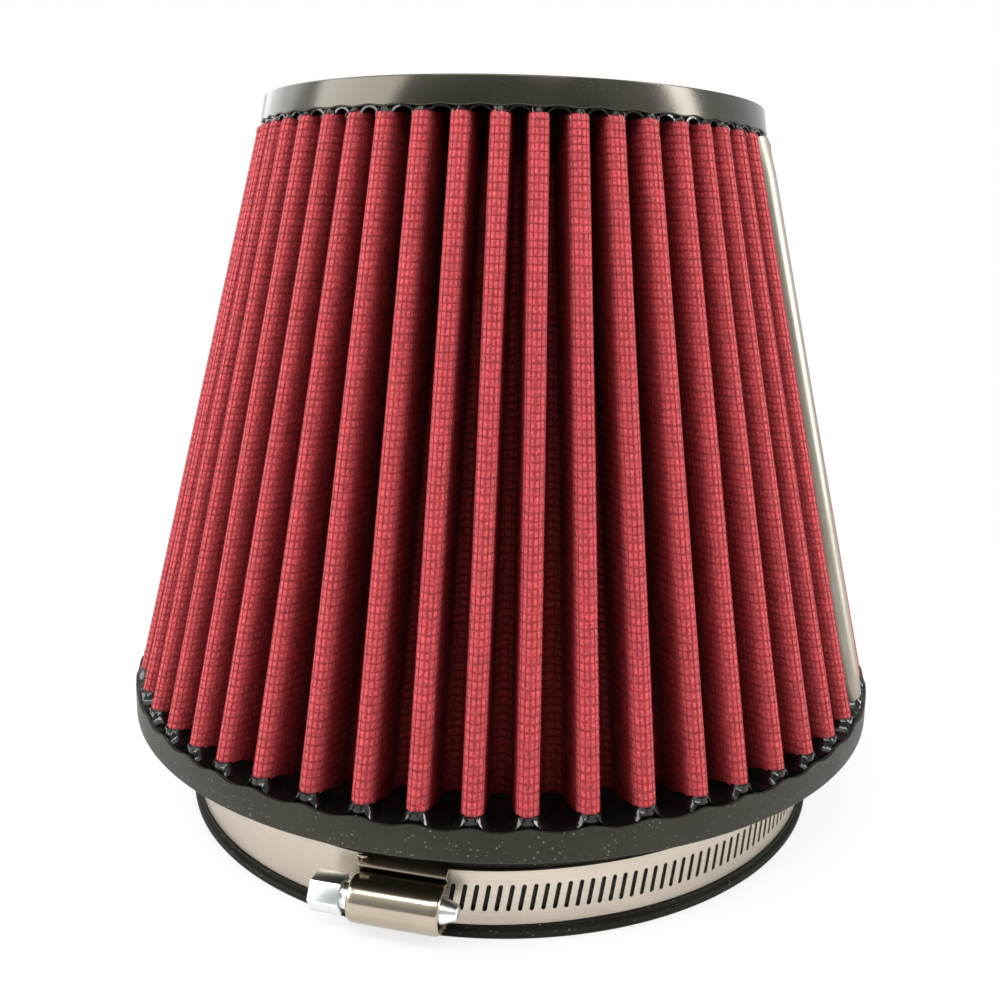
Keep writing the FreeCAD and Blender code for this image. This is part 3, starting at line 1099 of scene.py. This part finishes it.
def pool(name, folds, inner, outer, height, columns, rows):
    """A sheet of set rubber between the folds, its height given by place."""
    sheet = add_grid(name, columns, rows)

    def place(column, row):
        bearing = folds.half * (2 * column / columns - 1)
        radius = inner + (outer - inner) * row / rows
        z = height(radius * math.cos(bearing), radius * math.sin(bearing), bearing)
        turn = folds.pleats.first_crest + bearing
        return Vector((radius * math.sin(turn), -radius * math.cos(turn), z))

    shape_grid(sheet, columns, rows, place)
    copied_round(sheet, folds.pleats.count)
    folds.settle(sheet)
    return sheet


# Sleeves: how far they stand off the folds at the edge and, further in, at the root, and their edge's waves
SLEEVE_PROUD = 0.13 * MM
SLEEVE_ROOT = 0.12 * MM
SLEEVE_THICK = 0.1 * MM
SLEEVE_ROWS = 6
SLEEVE_WAVES = 2.3
# How deep in the fold the edge has come down, and the swelling died away
SLEEVE_EDGE_DEPTH = 0.35
SLEEVE_SWELL_DEPTH = 0.3


def sleeve(name, folds, ragged, root, crest_edge, valley_edge, swell):
    """Set rubber that hugs the folds from its root to a ragged edge, swollen at the root."""
    stations = folds.corner_stations(crest_steps=12, flank_steps=3, valley_steps=4)
    depths = folds.depths(stations)
    columns = len(stations) - 1
    cuff = add_grid(name, columns, SLEEVE_ROWS)

    def place(column, row):
        part = row / SLEEVE_ROWS
        edge = crest_edge + (valley_edge - crest_edge) * soft_step(0.0, SLEEVE_EDGE_DEPTH, depths[column])
        z = root + (edge - root) * part
        front = 1 - soft_step(0.0, SLEEVE_SWELL_DEPTH, depths[column])
        swollen = SLEEVE_ROOT + (swell - SLEEVE_ROOT) * front
        return folds.point(stations[column], folds.share(z), swollen * (1 - part) ** 2 + SLEEVE_PROUD)

    shape_grid(cuff, columns, SLEEVE_ROWS, place)
    copied_round(cuff, folds.pleats.count)
    for vertex in cuff.data.vertices:
        turn = math.atan2(vertex.co.x, -vertex.co.y) - folds.pleats.first_crest
        number = round(turn / (2 * folds.half)) % folds.pleats.count
        part = (vertex.co.z - root) / (crest_edge - root)
        wave = math.sin(turn * folds.pleats.count * SLEEVE_WAVES + number) * 0.5 + 0.5
        vertex.co.z += part * (ragged[number] * wave)
    folds.settle(cuff)
    face_way(cuff, lambda polygon: polygon.normal.xy.dot(polygon.center.xy))
    modified(cuff, "SOLIDIFY", thickness=SLEEVE_THICK, offset=-1)
    smoothed(cuff, degrees=60)
    return cuff


# Pools: how far they reach inside the valleys and stop short of the ring's and the crests' radius
POOL_BEYOND_VALLEY = 2.5 * MM
POOL_SHORT_OF_RING = 0.85 * MM
POOL_SHORT_OF_CREST = 1.2 * MM
POOL_THICK = 0.5 * MM
# Where the foot's pool begins and ends its climb to the ring's edge, in from the ring, and how far past it
RING_CLIMB_START = 2.2 * MM
RING_CLIMB_END = 0.9 * MM
RING_CLIMB_PAST = 0.12 * MM
# How far the head's pool comes down at a crest, past its own height, and its share in a valley
HEAD_DROP_PAST = 0.3 * MM
HEAD_DROP_VALLEY = 0.6
# Sleeves' roots in the pool and in the cap, their edges under the cap, and how far they swell
FOOT_ROOT_BELOW = 1.0 * MM
HEAD_ROOT_ABOVE = 1.6 * MM
HEAD_CREST_EDGE = -0.1 * MM
HEAD_VALLEY_EDGE = 0.5 * MM
FOOT_SWELL = 0.75 * MM
HEAD_SWELL = 0.3 * MM


class FILTER_OT_potting(bpy.types.Operator):
    """Flow the glossy rubber that holds the pleats' ends"""
    bl_idname = "filter.potting"
    bl_label = "Set rubber"

    def execute(self, context):
        pleats = context.scene.filter_pleats
        rubber = context.scene.filter_rubber
        folds = Folds(pleats)
        material = potting_material(tint(context, "potting"))

        def climb(along, across, share, crest, valley):
            centre, fold, hollow, _ = folds.section(share)
            gap = max(0.0, folds.clearance(along, across, share))
            front = soft_step(hollow, centre + fold * 0.5, along)
            return (valley + (crest - valley) * front) * math.exp(-gap / rubber.climb_reach)

        def foot_height(along, across, bearing):
            rise = climb(along, across, 0.0, rubber.climb_crest, rubber.climb_valley)
            edge = soft_step(RING_RADIUS - RING_CLIMB_START, RING_RADIUS - RING_CLIMB_END,
                             math.hypot(along, across))
            near = float(near_crest(folds, pleats.first_crest + bearing, SCALLOP_SHARPNESS))
            return rubber.pool_foot + max(rise, edge * (rubber.scallop_foot * near + RING_CLIMB_PAST))

        def head_height(along, across, bearing):
            drop = climb(along, across, 1.0, rubber.pool_head + HEAD_DROP_PAST,
                         rubber.pool_head * HEAD_DROP_VALLEY)
            return PLEAT_HEAD + rubber.pool_head - drop

        draws = random.Random(pleats.seed + 4)
        ragged = [draws.uniform(-1, 1) * rubber.ragged for _ in range(pleats.count)]
        foot_sleeve = sleeve("set_rubber_foot_sleeve", folds, ragged, rubber.pool_foot - FOOT_ROOT_BELOW,
                             rubber.pool_foot + rubber.climb_crest, rubber.pool_foot + rubber.climb_valley,
                             FOOT_SWELL)
        head_sleeve = sleeve("set_rubber_head_sleeve", folds, ragged, PLEAT_HEAD + HEAD_ROOT_ABOVE,
                             PLEAT_HEAD + HEAD_CREST_EDGE, PLEAT_HEAD + HEAD_VALLEY_EDGE, HEAD_SWELL)
        dressed(foot_sleeve, material, FILTER, "flange_rubber")
        dressed(head_sleeve, material, FILTER, "cap_rubber")
        feet = pool("set_rubber_foot", folds, pleats.crest_foot - pleats.depth - POOL_BEYOND_VALLEY,
                    RING_RADIUS - POOL_SHORT_OF_RING, foot_height, columns=28, rows=18)
        heads = pool("set_rubber_head", folds, pleats.crest_head - pleats.depth - POOL_BEYOND_VALLEY,
                     pleats.crest_head - POOL_SHORT_OF_CREST, head_height, columns=20, rows=10)
        for sheet, slot, way in ((feet, "flange_rubber", 1), (heads, "cap_rubber", -1)):
            face_way(sheet, lambda polygon: way * polygon.normal.z * polygon.area)
            modified(sheet, "SOLIDIFY", thickness=POOL_THICK, offset=-1)
            smoothed(sheet, degrees=60)
            dressed(sheet, material, FILTER, slot)
        return {"FINISHED"}


# The cap, in millimetres: its skirt's foot above the pleats' heads, its floor above that, and its radii
SKIRT_ABOVE = 1.1
FLOOR_ABOVE = 1.4
CAP_FLOOR = 60.2
SKIRT_INSIDE = 61.4
SKIRT_OUTSIDE = 62.3
CAP_SHOULDER = 61.35
RECESS_RIM = 58.6
RECESS_FLOOR = 57.9
RECESS_DEPTH = 0.35
SKIRT_WAVES_BEYOND = 61 * MM


class FILTER_OT_cap(bpy.types.Operator):
    """Turn the top cap"""
    bl_idname = "filter.cap"
    bl_label = "Top cap"

    def execute(self, context):
        pleats = context.scene.filter_pleats
        rubber = context.scene.filter_rubber
        folds = Folds(pleats)
        top = CAP_TOP / MM
        lower = PLEAT_HEAD / MM + SKIRT_ABOVE
        # Each corner's radius, height and rounding
        outline = rounded([
            (0.0, lower + FLOOR_ABOVE, 0.0),
            (CAP_FLOOR, lower + FLOOR_ABOVE, 0.3),
            (SKIRT_INSIDE, lower, 0.2),
            (SKIRT_OUTSIDE, lower, 0.3),
            (CAP_SHOULDER, top, 0.35),
            (RECESS_RIM, top, 0.25),
            (RECESS_FLOOR, top - RECESS_DEPTH, 0.25),
            (0.0, top - RECESS_DEPTH, 0.0),
        ])
        cap = add_outline("rubber_cap", outline)
        turned(cap, pleats.count * STEPS_PER_PLEAT)
        edge = (lower + 1.0) * MM
        wave_edge(cap, folds, lambda co: rim_weight(co, SKIRT_WAVES_BEYOND, edge - co.z),
                  -rubber.scallop_head, sharpness=1.0)
        folds.settle(cap)
        smoothed(cap, degrees=35)
        material = rubber_material("smooth_cap_rubber", tint(context, "rubber"),
                                   roughness=0.17, speckle=0.12, shine=0.5)
        dressed(cap, material, FILTER, "cap_rubber", "top_cap")
        return {"FINISHED"}


# Clamp


class FILTER_OT_band(bpy.types.Operator):
    """Give the slotted band its satin steel"""
    bl_idname = "filter.band"
    bl_label = "Clamp band"

    def execute(self, context):
        band = frame["nodes"]["clamp_band"]
        material = steel_material("satin_band_steel", tint(context, "band"),
                                  roughness=0.3, streaks=0.6, clouds=0.12)
        band.data.materials.clear()
        band.data.materials.append(material)
        return {"FINISHED"}


def to_clamp(obj):
    """Move a piece modelled along X, and out along Y, to the clamp's screw."""
    along = Vector(SCREW_JOINT["axis"]).normalized()
    up = Vector((0, 0, 1))
    place = Matrix((along, along.cross(up), up)).transposed().to_4x4()
    place.translation = Vector(SCREW_JOINT["pos_m"])
    obj.data.transform(place)
    obj.data.update()


def add_block(name, size, place, tilt=0.0):
    """A block of a size in millimetres, tilted about X and moved to its place."""
    bpy.ops.object.select_all(action="DESELECT")
    bpy.ops.mesh.primitive_cube_add(size=1)
    block = started(name)
    block.data.transform(Matrix.Diagonal((size[0] * MM, size[1] * MM, size[2] * MM, 1)))
    block.data.transform(Matrix.Rotation(tilt, 4, "X"))
    block.data.transform(Matrix.Translation((place[0] * MM, place[1] * MM, place[2] * MM)))
    return block


# The clamp's pressing, in millimetres: the barrel round the screw, and its skirt's flare, out and up
HOUSING_HALF = 9.4
BARREL = 4.6
BARREL_REACH = 1.62 * math.pi / 2
BARREL_STEPS = 16
FLARE = [(-2.6, 5.35), (-3.3, 6.2), (-4.2, 6.45), (-5.2, 6.45)]
# Points of the section further out than this are the barrel's
BARREL_BEYOND = -2
# How the barrel closes in at its ends: shares of the half length and of its size
BARREL_ENDS = [(-1.0, 0.91), (-0.985, 0.965), (-0.95, 0.995), (-0.9, 1.0), (-0.4, 1.0)]
PRESSED_THICK = 0.8 * MM
PRESSED_ROUNDING = 0.18 * MM
EAR_SIZE = (2.2, 0.55, 2.6)
EAR_PLACE = (-8.2, -2.1, 7.2)
EAR_TILT = math.radians(-24)
EAR_ROUNDING = 0.15 * MM


class FILTER_OT_housing(bpy.types.Operator):
    """Press the clamp's barrel and its skirt"""
    bl_idname = "filter.housing"
    bl_label = "Clamp housing"

    def execute(self, context):
        turns = [BARREL_REACH * (2 * k / BARREL_STEPS - 1) for k in range(BARREL_STEPS + 1)]
        arc = [(BARREL * math.cos(turn), BARREL * math.sin(turn)) for turn in turns]
        section = [(out, -up) for out, up in FLARE[::-1]] + arc + FLARE
        ends = BARREL_ENDS + [(-where, size) for where, size in BARREL_ENDS[::-1]]
        columns = len(section) - 1
        rows = len(ends) - 1
        shell = add_grid("housing_barrel", columns, rows)

        def place(column, row):
            out, up = section[column]
            where, size = ends[row]
            if out > BARREL_BEYOND:
                out, up = out * size, up * size
            return Vector((where * HOUSING_HALF, out, up)) * MM

        shape_grid(shell, columns, rows, place)
        face_way(shell, lambda polygon: polygon.normal.y * polygon.area)
        modified(shell, "SOLIDIFY", thickness=PRESSED_THICK, offset=0)
        modified(shell, "BEVEL", width=PRESSED_ROUNDING, segments=2, limit_method="ANGLE",
                 angle_limit=math.radians(50))
        modified(shell, "SUBSURF", levels=1, render_levels=1)
        ear = add_block("housing_ear", EAR_SIZE, EAR_PLACE, EAR_TILT)
        modified(ear, "BEVEL", width=EAR_ROUNDING, segments=2)
        shell = joined([shell, ear], "housing_barrel")
        smoothed(shell, degrees=60)
        to_clamp(shell)
        material = steel_material("polished_housing_steel", tint(context, "housing"),
                                  roughness=0.13, streaks=0.2, clouds=0.08)
        dressed(shell, material, FILTER, "housing_steel", "clamp_housing")
        return {"FINISHED"}


# The screw, in millimetres, along its axis from the housing's middle
SHANK_STEPS = 48
THREAD_PITCH = 2.43
THREAD_TURNS = 6.6
THREAD_STEPS_PER_TURN = 24
THREAD_START = -8.0
THREAD_RADIUS = 3.3
THREAD_THICK = 0.6 * MM
HEAD_ACROSS_FLATS = 7.0
HEAD_LENGTH = 6.9
HEAD_MIDDLE = -14.85
# Widths, steps and least angles of the head's roundings, first round its ends and then along its corners
HEAD_ROUNDINGS = ((0.45, 3, 70), (0.12, 2, 40))
DRIVER_SLOT_CUTTER = (3.2, 5.2, 1.2)


class FILTER_OT_screw(bpy.types.Operator):
    """Make the worm screw: hex head, neck, thread and blunt tip"""
    bl_idname = "filter.screw"
    bl_label = "Worm screw"

    def execute(self, context):
        lay_along = Matrix.Rotation(math.pi / 2, 4, "Y")
        # Each corner's radius, place along the axis and rounding
        outline = rounded([
            (0.0, -11.5, 0.0),
            (2.8, -11.5, 0.1),
            (2.8, -8.4, 0.1),
            (3.1, -8.4, 0.2),
            (3.1, 8.4, 0.1),
            (2.7, 8.4, 0.1),
            (2.7, 9.4, 0.1),
            (1.4, 12.8, 0.6),
            (0.0, 12.8, 0.0),
        ])
        shank = add_outline("worm_shank", outline)
        turned(shank, SHANK_STEPS)
        shank.data.transform(lay_along)
        steps = int(THREAD_TURNS * THREAD_STEPS_PER_TURN)
        path = []
        outward = []
        for step in range(steps + 1):
            turns = THREAD_TURNS * step / steps
            up = math.cos(FULL_TURN * turns)
            side = math.sin(FULL_TURN * turns)
            where = THREAD_START + THREAD_PITCH * turns
            path.append((where * MM, THREAD_RADIUS * up * MM, THREAD_RADIUS * side * MM))
            outward.append((0, up, side))
        thread = strands("worm_thread", np.array([path]), np.array([outward]), THREAD_THICK,
                         closed=False, sides=6)
        bpy.ops.object.select_all(action="DESELECT")
        bpy.ops.mesh.primitive_cylinder_add(vertices=6, radius=HEAD_ACROSS_FLATS / math.sqrt(3) * MM,
                                            depth=HEAD_LENGTH * MM)
        head = started("worm_head")
        head.data.transform(lay_along)
        head.data.transform(Matrix.Translation((HEAD_MIDDLE * MM, 0, 0)))
        for width, segments, degrees in HEAD_ROUNDINGS:
            modified(head, "BEVEL", width=width * MM, segments=segments, limit_method="ANGLE",
                     angle_limit=math.radians(degrees))
        cutter = add_block("driver_slot", DRIVER_SLOT_CUTTER, (HEAD_MIDDLE - HEAD_LENGTH / 2, 0, 0))
        modified(head, "BOOLEAN", object=cutter, operation="DIFFERENCE")
        bpy.data.objects.remove(cutter)
        screw = joined([shank, thread, head], "worm_screw_plated")
        smoothed(screw, degrees=35)
        to_clamp(screw)
        material = steel_material("bright_zinc", tint(context, "screw"),
                                  roughness=0.24, streaks=0.2, clouds=0.14)
        dressed(screw, material, SCREW, "screw_zinc", "worm_screw")
        return {"FINISHED"}


# Stage

PHOTO_SIZE = 1000.0
PHOTO_FOCAL_PX = 1066.4
PHOTO_CENTRE_PX = (530.0, 430.0)
CAMERA_DISTANCE = 278.5 * MM
CAMERA_HEIGHT = 142.2 * MM
CAMERA_PITCH = 0.1796
CAMERA_ROLL = 0.0241
CAMERA_YAW = 0.0202
CAMERA_SENSOR = 36.0
CAMERA_NEAR = 0.01


def add_camera():
    """The photo's camera: below the cap, looking a little down and rolled a little."""
    bpy.ops.object.camera_add(location=(0, -CAMERA_DISTANCE, CAMERA_HEIGHT))
    camera = bpy.context.active_object
    camera.name = "photo_camera"
    sp, cp = math.sin(CAMERA_PITCH), math.cos(CAMERA_PITCH)
    sy, cy = math.sin(CAMERA_YAW), math.cos(CAMERA_YAW)
    sr, cr = math.sin(CAMERA_ROLL), math.cos(CAMERA_ROLL)
    forward = Vector((sy * cp, cy * cp, -sp))
    up = Vector((sy * sp, cy * sp, cp))
    right = Vector((cy, -sy, 0))
    across = cr * right + sr * up
    upright = -sr * right + cr * up
    matrix = Matrix((across, upright, -forward)).transposed().to_4x4()
    matrix.translation = camera.location
    camera.matrix_world = matrix
    camera.data.sensor_width = CAMERA_SENSOR
    camera.data.lens = PHOTO_FOCAL_PX * CAMERA_SENSOR / PHOTO_SIZE
    camera.data.shift_x = (PHOTO_SIZE / 2 - PHOTO_CENTRE_PX[0]) / PHOTO_SIZE
    camera.data.shift_y = (PHOTO_CENTRE_PX[1] - PHOTO_SIZE / 2) / PHOTO_SIZE
    camera.data.clip_start = CAMERA_NEAR
    bpy.context.scene.camera = camera


# Each lamp's name, place, width and height, and power; all face the cone's middle
LAMP_TARGET = (0, 0, 0.09)
LAMPS = (
    ("overhead_soft_box", (-0.15, -0.2, 1.0), (0.9, 0.7), 3.0),
    ("key_strip_box", (-0.1, -0.66, 0.85), (0.9, 0.14), 5.4),
    ("right_strip_box", (0.88, -0.21, 0.55), (0.2, 1.0), 11.0),
    ("left_strip_box", (-0.86, -0.27, 0.5), (0.72, 0.6), 10.0),
    ("left_back_soft_box", (-0.7, 0.55, 0.5), (0.7, 0.9), 3.2),
)


def add_lamp(name, place, size, power):
    """A soft box at a place, facing the cone's middle."""
    bpy.ops.object.light_add(type="AREA", location=place)
    lamp = bpy.context.active_object
    lamp.name = name
    lamp.data.shape = "RECTANGLE"
    lamp.data.size, lamp.data.size_y = size
    lamp.data.energy = power
    lamp.rotation_euler = (Vector(LAMP_TARGET) - Vector(place)).to_track_quat("-Z", "Y").to_euler()


WHITE = (1, 1, 1, 1)
SOFT_LIGHT = 0.31
# Cosine of the angle from the camera's side, and how much darker the tent's mouth is in reflections there
TENT_MOUTH_EDGE = (0.62, 0.0)
TENT_MOUTH = (0.88, 0.6)


def light_world():
    """White to the eye and in reflections but for the tent's mouth, and a plain soft light elsewhere."""
    world = bpy.data.worlds.new("light_tent")
    bpy.context.scene.world = world
    world.use_nodes = True
    tree = world.node_tree
    tree.nodes.clear()
    rays = tree.nodes.new("ShaderNodeLightPath").outputs
    seen = maths(tree, "MAXIMUM", rays["Is Camera Ray"], rays["Is Glossy Ray"])
    shown = maths(tree, "MAXIMUM", seen, rays["Is Transmission Ray"])
    way = split(tree, tree.nodes.new("ShaderNodeTexCoord").outputs["Generated"])
    mouth = ramp(tree, maths(tree, "MULTIPLY", way["Y"], -1.0), TENT_MOUTH_EDGE, TENT_MOUTH)
    dark = maths(tree, "MULTIPLY", mouth, rays["Is Glossy Ray"])
    soft = linked(tree, "ShaderNodeBackground", Color=WHITE, Strength=SOFT_LIGHT)
    white = linked(tree, "ShaderNodeBackground", Color=WHITE, Strength=maths(tree, "SUBTRACT", 1.0, dark))
    output = tree.nodes.new("ShaderNodeOutputWorld")
    tree.links.new(mixed(tree, shown, soft, white), output.inputs["Surface"])


# The floor's colour, and how much of it is plain white at two distances in metres from the middle
FLOOR = (0.86, 0.86, 0.86, 1)
FLOOR_FADE = ((0.12, 0.75), (0.34, 1.0))
FLOOR_SIZE = 30


def floor_material():
    """Pale floor that keeps the shadow near the filter and fades to white further off."""
    material, tree, shader = node_material("pale_floor")
    fed(tree, shader, Base_Color=FLOOR, Roughness=0.9)
    distance = linked(tree, "ShaderNodeVectorMath", {"operation": "LENGTH"})
    tree.links.new(place_of(tree), distance.inputs[0])
    fade = ramp(tree, distance.outputs["Value"], *FLOOR_FADE)
    rays = tree.nodes.new("ShaderNodeLightPath").outputs
    shown = maths(tree, "MULTIPLY", fade, rays["Is Camera Ray"])
    white = linked(tree, "ShaderNodeEmission", Color=WHITE, Strength=1.0)
    surface = tree.nodes["Material Output"].inputs["Surface"]
    tree.links.new(mixed(tree, shown, shader, white), surface)
    return material


class FILTER_OT_stage(bpy.types.Operator):
    """Set the floor, lamps, world and camera"""
    bl_idname = "filter.stage"
    bl_label = "Stage"

    def execute(self, context):
        bpy.ops.object.select_all(action="DESELECT")
        bpy.ops.mesh.primitive_plane_add(size=FLOOR_SIZE, location=(0, 0, 0))
        floor = started("pale_floor")
        floor.data.materials.append(floor_material())
        for name, place, size, power in LAMPS:
            add_lamp(name, place, size, power)
        light_world()
        add_camera()
        context.scene.view_settings.view_transform = "Standard"
        return {"FINISHED"}


class FILTER_PT_panel(bpy.types.Panel):
    """Lists the steps that dress the filter"""
    bl_idname = "FILTER_PT_panel"
    bl_label = "Cone air filter"
    bl_space_type = "VIEW_3D"
    bl_region_type = "UI"
    bl_category = "Filter"

    def draw(self, context):
        for operator in OPERATORS:
            self.layout.operator(operator.bl_idname)


GROUPS = {
    "filter_pleats": FilterPleats,
    "filter_screens": FilterScreens,
    "filter_rubber": FilterRubber,
    "filter_finish": FilterFinish,
}
OPERATORS = (
    FILTER_OT_cotton,
    FILTER_OT_outer_screen,
    FILTER_OT_inner_screen,
    FILTER_OT_fibres,
    FILTER_OT_seam,
    FILTER_OT_flange,
    FILTER_OT_potting,
    FILTER_OT_cap,
    FILTER_OT_band,
    FILTER_OT_housing,
    FILTER_OT_screw,
    FILTER_OT_stage,
)


def register():
    for name, group in GROUPS.items():
        bpy.utils.register_class(group)
        setattr(bpy.types.Scene, name, bpy.props.PointerProperty(type=group))
    for operator in OPERATORS:
        bpy.utils.register_class(operator)
    bpy.utils.register_class(FILTER_PT_panel)


def unregister():
    bpy.utils.unregister_class(FILTER_PT_panel)
    for operator in reversed(OPERATORS):
        bpy.utils.unregister_class(operator)
    for name, group in GROUPS.items():
        delattr(bpy.types.Scene, name)
        bpy.utils.unregister_class(group)


def main():
    register()
    bpy.ops.filter.cotton()
    bpy.ops.filter.outer_screen()
    bpy.ops.filter.inner_screen()
    bpy.ops.filter.fibres()
    bpy.ops.filter.seam()
    bpy.ops.filter.flange()
    bpy.ops.filter.potting()
    bpy.ops.filter.cap()
    bpy.ops.filter.band()
    bpy.ops.filter.housing()
    bpy.ops.filter.screw()
    bpy.ops.filter.stage()


if __name__ == "__main__":
    main()
